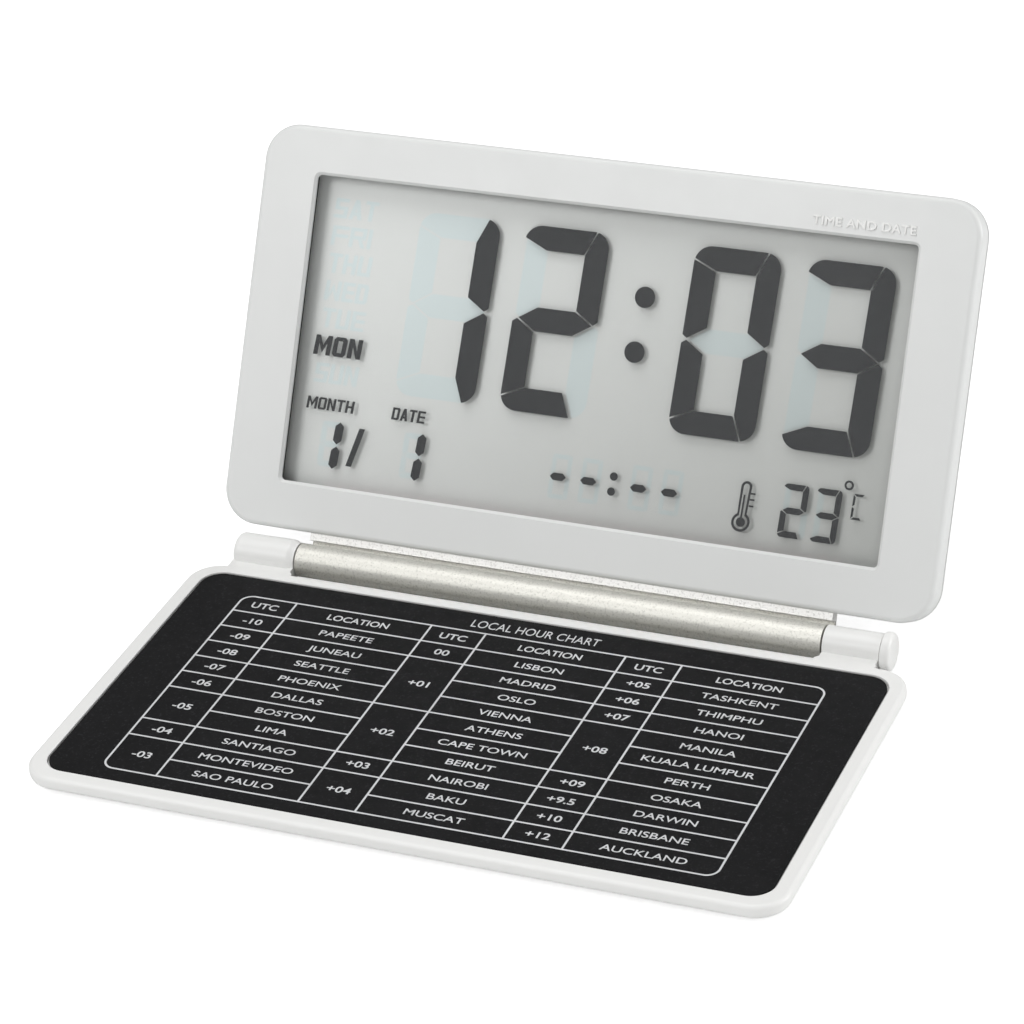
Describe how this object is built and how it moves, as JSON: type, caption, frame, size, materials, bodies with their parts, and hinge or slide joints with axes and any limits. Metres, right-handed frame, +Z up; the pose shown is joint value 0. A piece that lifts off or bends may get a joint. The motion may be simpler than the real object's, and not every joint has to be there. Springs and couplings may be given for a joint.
{
  "type": "folding travel alarm clock",
  "caption": "Folding desk alarm clock: a thin base tray with a printed time-zone card, and a liquid-crystal display head that tilts on a full-width hinge.",
  "frame": {"origin": "centre of the open clock's box, on the surface that its feet stand on", "axes": "+X to the right along the hinge line, +Y from the base's front edge towards the head, +Z up"},
  "size_m": [0.12, 0.1076, 0.0629],
  "materials": {
    "white_plastic": "satin moulded ABS",
    "tray_plastic": "satin moulded ABS",
    "anodised_aluminium": "bead-blasted and anodised",
    "steel": "plated",
    "galvanised": "zinc plated sheet",
    "black_card": "matt printed PVC card",
    "black_rubber": "matt",
    "black_foam": "matt foam",
    "display_film": "anti-glare film over a grey reflective display",
    "glass": "clear",
    "reflector": "satin reflective film",
    "circuit_green": "solder mask on glass-fibre board",
    "epoxy": "glossy epoxy drop",
    "brass": "thin brass disc",
    "ceramic": "unglazed ceramic",
    "key_rubber": "fine matt moulding",
    "silicone": "matt moulding",
    "zebra": "layered silicone strip"
  },
  "bodies": {
    "base": {"base_tray": "tray_plastic", "ballast_plate": "galvanised", "time_zone_card": "black_card", "foot_front_left": "black_rubber", "foot_front_right": "black_rubber", "foot_rear_left": "black_rubber", "foot_rear_right": "black_rubber", "hinge_pin": "steel", "hinge_end_cap": "white_plastic"},
    "head": {"front_bezel": "white_plastic", "rear_cover": "white_plastic", "hinge_barrel": "anodised_aluminium", "case_screw_1": "steel", "case_screw_2": "steel", "case_screw_3": "steel", "case_screw_4": "steel", "quartz_crystal": "steel", "coin_cell": "steel", "battery_contact_negative": "steel", "battery_contact_positive": "steel", "switch_body": "steel", "lcd_gasket": "black_foam", "lcd_polarizer": "display_film", "lcd_front_glass": "glass", "lcd_rear_glass": "glass", "lcd_reflector": "reflector", "circuit_board": "circuit_green", "chip_glob": "epoxy", "buzzer_disc": "brass", "thermistor": "ceramic", "capacitor_1": "ceramic", "capacitor_2": "ceramic", "key_mat": "silicone", "hinge_bush_left": "silicone", "hinge_bush_right": "silicone", "zebra_connector": "zebra"},
    "key_mode_body": {"key_mode": "key_rubber"},
    "key_set_body": {"key_set": "key_rubber"},
    "key_up_body": {"key_up": "key_rubber"},
    "key_down_body": {"key_down": "key_rubber"},
    "alarm_switch_body": {"alarm_switch": "key_rubber"},
    "battery_door_body": {"battery_door": "white_plastic"}
  },
  "joints": [
    {"name": "head_fold", "type": "hinge", "parent": "base", "child": "head", "pos_m": [0, 0.0136, 0.00344], "axis": [1, 0, 0], "range_deg": [0, 119.28]},
    {"name": "key_mode_press", "type": "slide", "parent": "head", "child": "key_mode_body", "axis": [0, -0.8722, 0.4891], "range_m": [0, 0.0005], "stiffness_N_per_m": 1500, "springref_m": -0.0002},
    {"name": "key_set_press", "type": "slide", "parent": "head", "child": "key_set_body", "axis": [0, -0.8722, 0.4891], "range_m": [0, 0.0005], "stiffness_N_per_m": 1500, "springref_m": -0.0002},
    {"name": "key_up_press", "type": "slide", "parent": "head", "child": "key_up_body", "axis": [0, -0.8722, 0.4891], "range_m": [0, 0.0005], "stiffness_N_per_m": 1500, "springref_m": -0.0002},
    {"name": "key_down_press", "type": "slide", "parent": "head", "child": "key_down_body", "axis": [0, -0.8722, 0.4891], "range_m": [0, 0.0005], "stiffness_N_per_m": 1500, "springref_m": -0.0002},
    {"name": "alarm_switch_slide", "type": "slide", "parent": "head", "child": "alarm_switch_body", "axis": [1, 0, 0], "range_m": [0, 0.003]},
    {"name": "battery_door_turn", "type": "hinge", "parent": "head", "child": "battery_door_body", "pos_m": [0.03, 0.03824, 0.02746], "axis": [0, 0.8722, -0.4891], "range_deg": [0, 60]}
  ]
}
